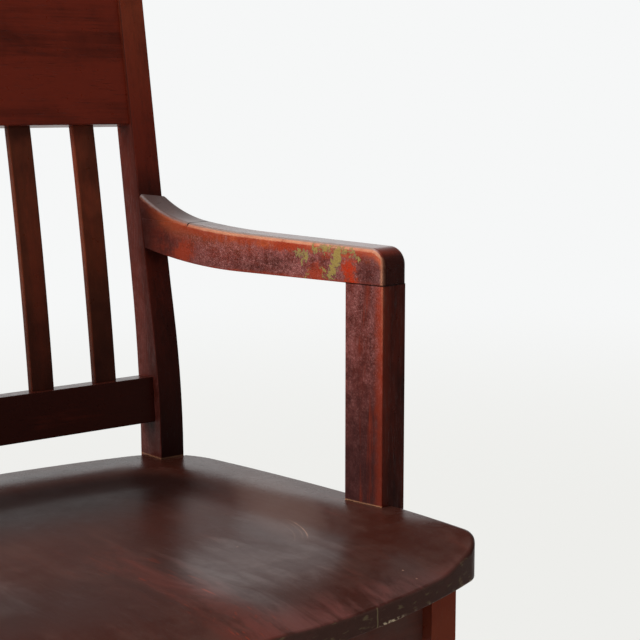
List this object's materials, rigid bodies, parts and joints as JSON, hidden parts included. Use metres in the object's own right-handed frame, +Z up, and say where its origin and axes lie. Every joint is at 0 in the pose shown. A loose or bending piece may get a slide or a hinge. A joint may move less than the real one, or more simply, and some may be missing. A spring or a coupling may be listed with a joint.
{
  "type": "library armchair",
  "caption": "Plain wooden library armchair with a saddle-shaped seat, a leaning slatted back between bent posts, sawn arms with upswept rear ends, tapered front legs and an H stretcher.",
  "frame": {"origin": "on the floor, midway across the chair's width and depth", "axes": "+Z up; -Y is the way the sitter looks; +X is the sitter's left"},
  "size_m": [0.5518, 0.5318, 0.9221],
  "materials": {
    "frame_wood": "dark red stain under old crackled varnish, worn at the edges",
    "seat_wood": "dark red-brown stain under worn, scratched varnish",
    "plug_wood": "stained and varnished end-grain plugs",
    "bare_wood": "bare sawn hardwood",
    "screw_steel": "dull plain steel"
  },
  "bodies": {
    "root": {"arm_dowels": "bare_wood", "arm_end_screws": "screw_steel", "arm_post_plugs": "plug_wood", "arm_post_screws": "screw_steel", "back_post_plugs": "plug_wood", "back_slat_1": "frame_wood", "back_slat_2": "frame_wood", "back_slat_3": "frame_wood", "back_slat_4": "frame_wood", "back_slat_5": "frame_wood", "corner_block_screws": "screw_steel", "crest_rail": "frame_wood", "cross_stretcher": "frame_wood", "front_apron": "frame_wood", "front_left_corner_block": "bare_wood", "front_left_leg": "frame_wood", "front_right_corner_block": "bare_wood", "front_right_leg": "frame_wood", "left_apron": "frame_wood", "left_arm": "frame_wood", "left_arm_post": "frame_wood", "left_arm_riser": "frame_wood", "left_back_post": "frame_wood", "left_stretcher": "frame_wood", "lower_back_rail": "frame_wood", "rear_apron": "frame_wood", "rear_left_corner_block": "bare_wood", "rear_right_corner_block": "bare_wood", "right_apron": "frame_wood", "right_arm": "frame_wood", "right_arm_post": "frame_wood", "right_arm_riser": "frame_wood", "right_back_post": "frame_wood", "right_stretcher": "frame_wood", "seat": "seat_wood", "seat_post_screws": "screw_steel", "seat_screws": "screw_steel"}
  },
  "joints": []
}
